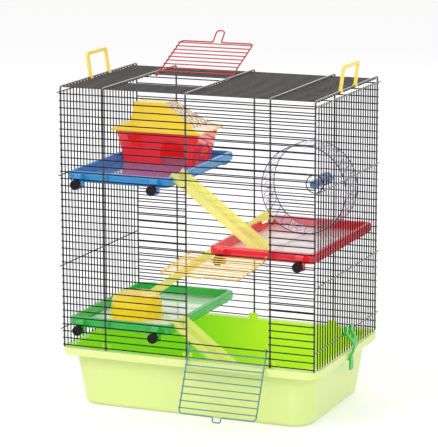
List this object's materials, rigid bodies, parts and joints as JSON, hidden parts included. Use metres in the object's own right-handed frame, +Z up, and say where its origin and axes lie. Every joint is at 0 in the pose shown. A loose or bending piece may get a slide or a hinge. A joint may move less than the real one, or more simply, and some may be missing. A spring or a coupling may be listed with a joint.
{
  "type": "pet cage",
  "caption": "Wire pet cage on a plastic tray, with opening doors, coloured shelves joined by ladders, a running wheel, a house, a bowl, carry handles and tray clips.",
  "frame": {"origin": "centre of the tray's underside", "axes": "+X to the right seen from the front, +Y to the back, +Z up"},
  "size_m": [0.4426, 0.4157, 0.5499],
  "materials": {
    "tray_plastic": "pale lime moulded plastic",
    "black_wire": "black enamel",
    "lower_door_wire": "dark blue-grey enamel",
    "upper_door_wire": "yellow-orange enamel",
    "roof_door_wire": "red enamel",
    "handle_plastic": "yellow moulded plastic",
    "clip_plastic": "green moulded plastic",
    "blue_shelf_plastic": "translucent blue",
    "red_shelf_plastic": "translucent red",
    "green_shelf_plastic": "translucent green",
    "knob_plastic": "black",
    "ladder_plastic": "translucent pale yellow",
    "wheel_plastic": "clear with a violet tint",
    "hub_plastic": "blue",
    "axle_steel": "plain steel",
    "house_plastic": "red",
    "roof_plastic": "yellow",
    "bowl_plastic": "yellow-orange"
  },
  "bodies": {
    "cage": {"base_tray": "tray_plastic", "frame_wires": "black_wire", "front_bars": "black_wire", "back_bars": "black_wire", "roof_bars": "black_wire", "left_panel_bars": "black_wire", "right_panel_bars": "black_wire", "left_panel_cross_wires": "black_wire", "right_panel_cross_wires": "black_wire", "blue_shelf": "blue_shelf_plastic", "red_shelf": "red_shelf_plastic", "green_shelf": "green_shelf_plastic", "upper_ladder": "ladder_plastic", "middle_ladder": "ladder_plastic", "lower_ladder": "ladder_plastic", "wheel_axle": "axle_steel", "wheel_hub_cap": "hub_plastic", "wheel_mount": "hub_plastic", "wheel_nut": "hub_plastic", "house_base": "house_plastic"},
    "lower_door": {"lower_door_frame": "lower_door_wire", "lower_door_bars": "lower_door_wire"},
    "upper_door": {"upper_door_frame": "upper_door_wire", "upper_door_bars": "upper_door_wire"},
    "roof_door": {"roof_door_frame": "roof_door_wire", "roof_door_bars": "roof_door_wire"},
    "left_handle": {"left_handle": "handle_plastic"},
    "right_handle": {"right_handle": "handle_plastic"},
    "left_clip": {"left_clip": "clip_plastic"},
    "right_clip": {"right_clip": "clip_plastic"},
    "wheel": {"wheel_drum": "wheel_plastic"},
    "house_roof": {"house_roof": "roof_plastic"},
    "food_bowl": {"food_bowl": "bowl_plastic"},
    "blue_front_left_thumbscrew": {"blue_front_left_thumbscrew": "knob_plastic"},
    "blue_front_right_thumbscrew": {"blue_front_right_thumbscrew": "knob_plastic"},
    "blue_back_left_thumbscrew": {"blue_back_left_thumbscrew": "knob_plastic"},
    "blue_back_right_thumbscrew": {"blue_back_right_thumbscrew": "knob_plastic"},
    "red_front_left_thumbscrew": {"red_front_left_thumbscrew": "knob_plastic"},
    "red_front_right_thumbscrew": {"red_front_right_thumbscrew": "knob_plastic"},
    "red_back_left_thumbscrew": {"red_back_left_thumbscrew": "knob_plastic"},
    "red_back_right_thumbscrew": {"red_back_right_thumbscrew": "knob_plastic"},
    "green_front_left_thumbscrew": {"green_front_left_thumbscrew": "knob_plastic"},
    "green_front_right_thumbscrew": {"green_front_right_thumbscrew": "knob_plastic"},
    "green_back_left_thumbscrew": {"green_back_left_thumbscrew": "knob_plastic"},
    "green_back_right_thumbscrew": {"green_back_right_thumbscrew": "knob_plastic"}
  },
  "joints": [
    {"name": "lower_door_hinge", "type": "hinge", "parent": "cage", "child": "lower_door", "pos_m": [0.067, -0.13865, 0.1173], "axis": [-1, 0, 0], "range_deg": [0, 155.8]},
    {"name": "upper_door_hinge", "type": "hinge", "parent": "cage", "child": "upper_door", "pos_m": [0.067, -0.13865, 0.25705], "axis": [-1, 0, 0], "range_deg": [0, 94]},
    {"name": "roof_door_hinge", "type": "hinge", "parent": "cage", "child": "roof_door", "pos_m": [-0.067, 0.04838, 0.49105], "axis": [1, 0, 0], "range_deg": [0, 152]},
    {"name": "left_handle_hinge", "type": "hinge", "parent": "cage", "child": "left_handle", "pos_m": [-0.2035, 0, 0.4934], "axis": [0, 1, 0], "range_deg": [0, 88]},
    {"name": "right_handle_hinge", "type": "hinge", "parent": "cage", "child": "right_handle", "pos_m": [0.2035, 0, 0.4934], "axis": [0, -1, 0], "range_deg": [0, 88]},
    {"name": "left_clip_hinge", "type": "hinge", "parent": "cage", "child": "left_clip", "pos_m": [-0.20595, 0, 0.121], "axis": [0, 1, 0], "range_deg": [0, 38]},
    {"name": "right_clip_hinge", "type": "hinge", "parent": "cage", "child": "right_clip", "pos_m": [0.20595, 0, 0.121], "axis": [0, -1, 0], "range_deg": [0, 100]},
    {"name": "wheel_spin", "type": "hinge", "parent": "cage", "child": "wheel", "pos_m": [0.119, 0.06665, 0.32693], "axis": [0, -1, 0], "continuous": true},
    {"name": "house_roof_lift", "type": "slide", "parent": "cage", "child": "house_roof", "axis": [0, 0, 1], "range_m": [0, 0.03]},
    {"name": "food_bowl_lift", "type": "slide", "parent": "cage", "child": "food_bowl", "axis": [0, 0, 1], "range_m": [0, 0.04]},
    {"name": "blue_front_left_thumbscrew_turn", "type": "hinge", "parent": "cage", "child": "blue_front_left_thumbscrew", "pos_m": [-0.1775, -0.13985, 0.34625], "axis": [0, -1, 0], "continuous": true},
    {"name": "blue_front_right_thumbscrew_turn", "type": "hinge", "parent": "cage", "child": "blue_front_right_thumbscrew", "pos_m": [-0.0525, -0.13985, 0.34625], "axis": [0, -1, 0], "continuous": true},
    {"name": "blue_back_left_thumbscrew_turn", "type": "hinge", "parent": "cage", "child": "blue_back_left_thumbscrew", "pos_m": [-0.1775, 0.13985, 0.34625], "axis": [0, 1, 0], "continuous": true},
    {"name": "blue_back_right_thumbscrew_turn", "type": "hinge", "parent": "cage", "child": "blue_back_right_thumbscrew", "pos_m": [-0.0525, 0.13985, 0.34625], "axis": [0, 1, 0], "continuous": true},
    {"name": "red_front_left_thumbscrew_turn", "type": "hinge", "parent": "cage", "child": "red_front_left_thumbscrew", "pos_m": [0.0545, -0.13985, 0.2495], "axis": [0, -1, 0], "continuous": true},
    {"name": "red_front_right_thumbscrew_turn", "type": "hinge", "parent": "cage", "child": "red_front_right_thumbscrew", "pos_m": [0.1795, -0.13985, 0.2495], "axis": [0, -1, 0], "continuous": true},
    {"name": "red_back_left_thumbscrew_turn", "type": "hinge", "parent": "cage", "child": "red_back_left_thumbscrew", "pos_m": [0.0545, 0.13985, 0.2495], "axis": [0, 1, 0], "continuous": true},
    {"name": "red_back_right_thumbscrew_turn", "type": "hinge", "parent": "cage", "child": "red_back_right_thumbscrew", "pos_m": [0.1795, 0.13985, 0.2495], "axis": [0, 1, 0], "continuous": true},
    {"name": "green_front_left_thumbscrew_turn", "type": "hinge", "parent": "cage", "child": "green_front_left_thumbscrew", "pos_m": [-0.1775, -0.13985, 0.1205], "axis": [0, -1, 0], "continuous": true},
    {"name": "green_front_right_thumbscrew_turn", "type": "hinge", "parent": "cage", "child": "green_front_right_thumbscrew", "pos_m": [-0.0525, -0.13985, 0.1205], "axis": [0, -1, 0], "continuous": true},
    {"name": "green_back_left_thumbscrew_turn", "type": "hinge", "parent": "cage", "child": "green_back_left_thumbscrew", "pos_m": [-0.1775, 0.13985, 0.1205], "axis": [0, 1, 0], "continuous": true},
    {"name": "green_back_right_thumbscrew_turn", "type": "hinge", "parent": "cage", "child": "green_back_right_thumbscrew", "pos_m": [-0.0525, 0.13985, 0.1205], "axis": [0, 1, 0], "continuous": true}
  ]
}
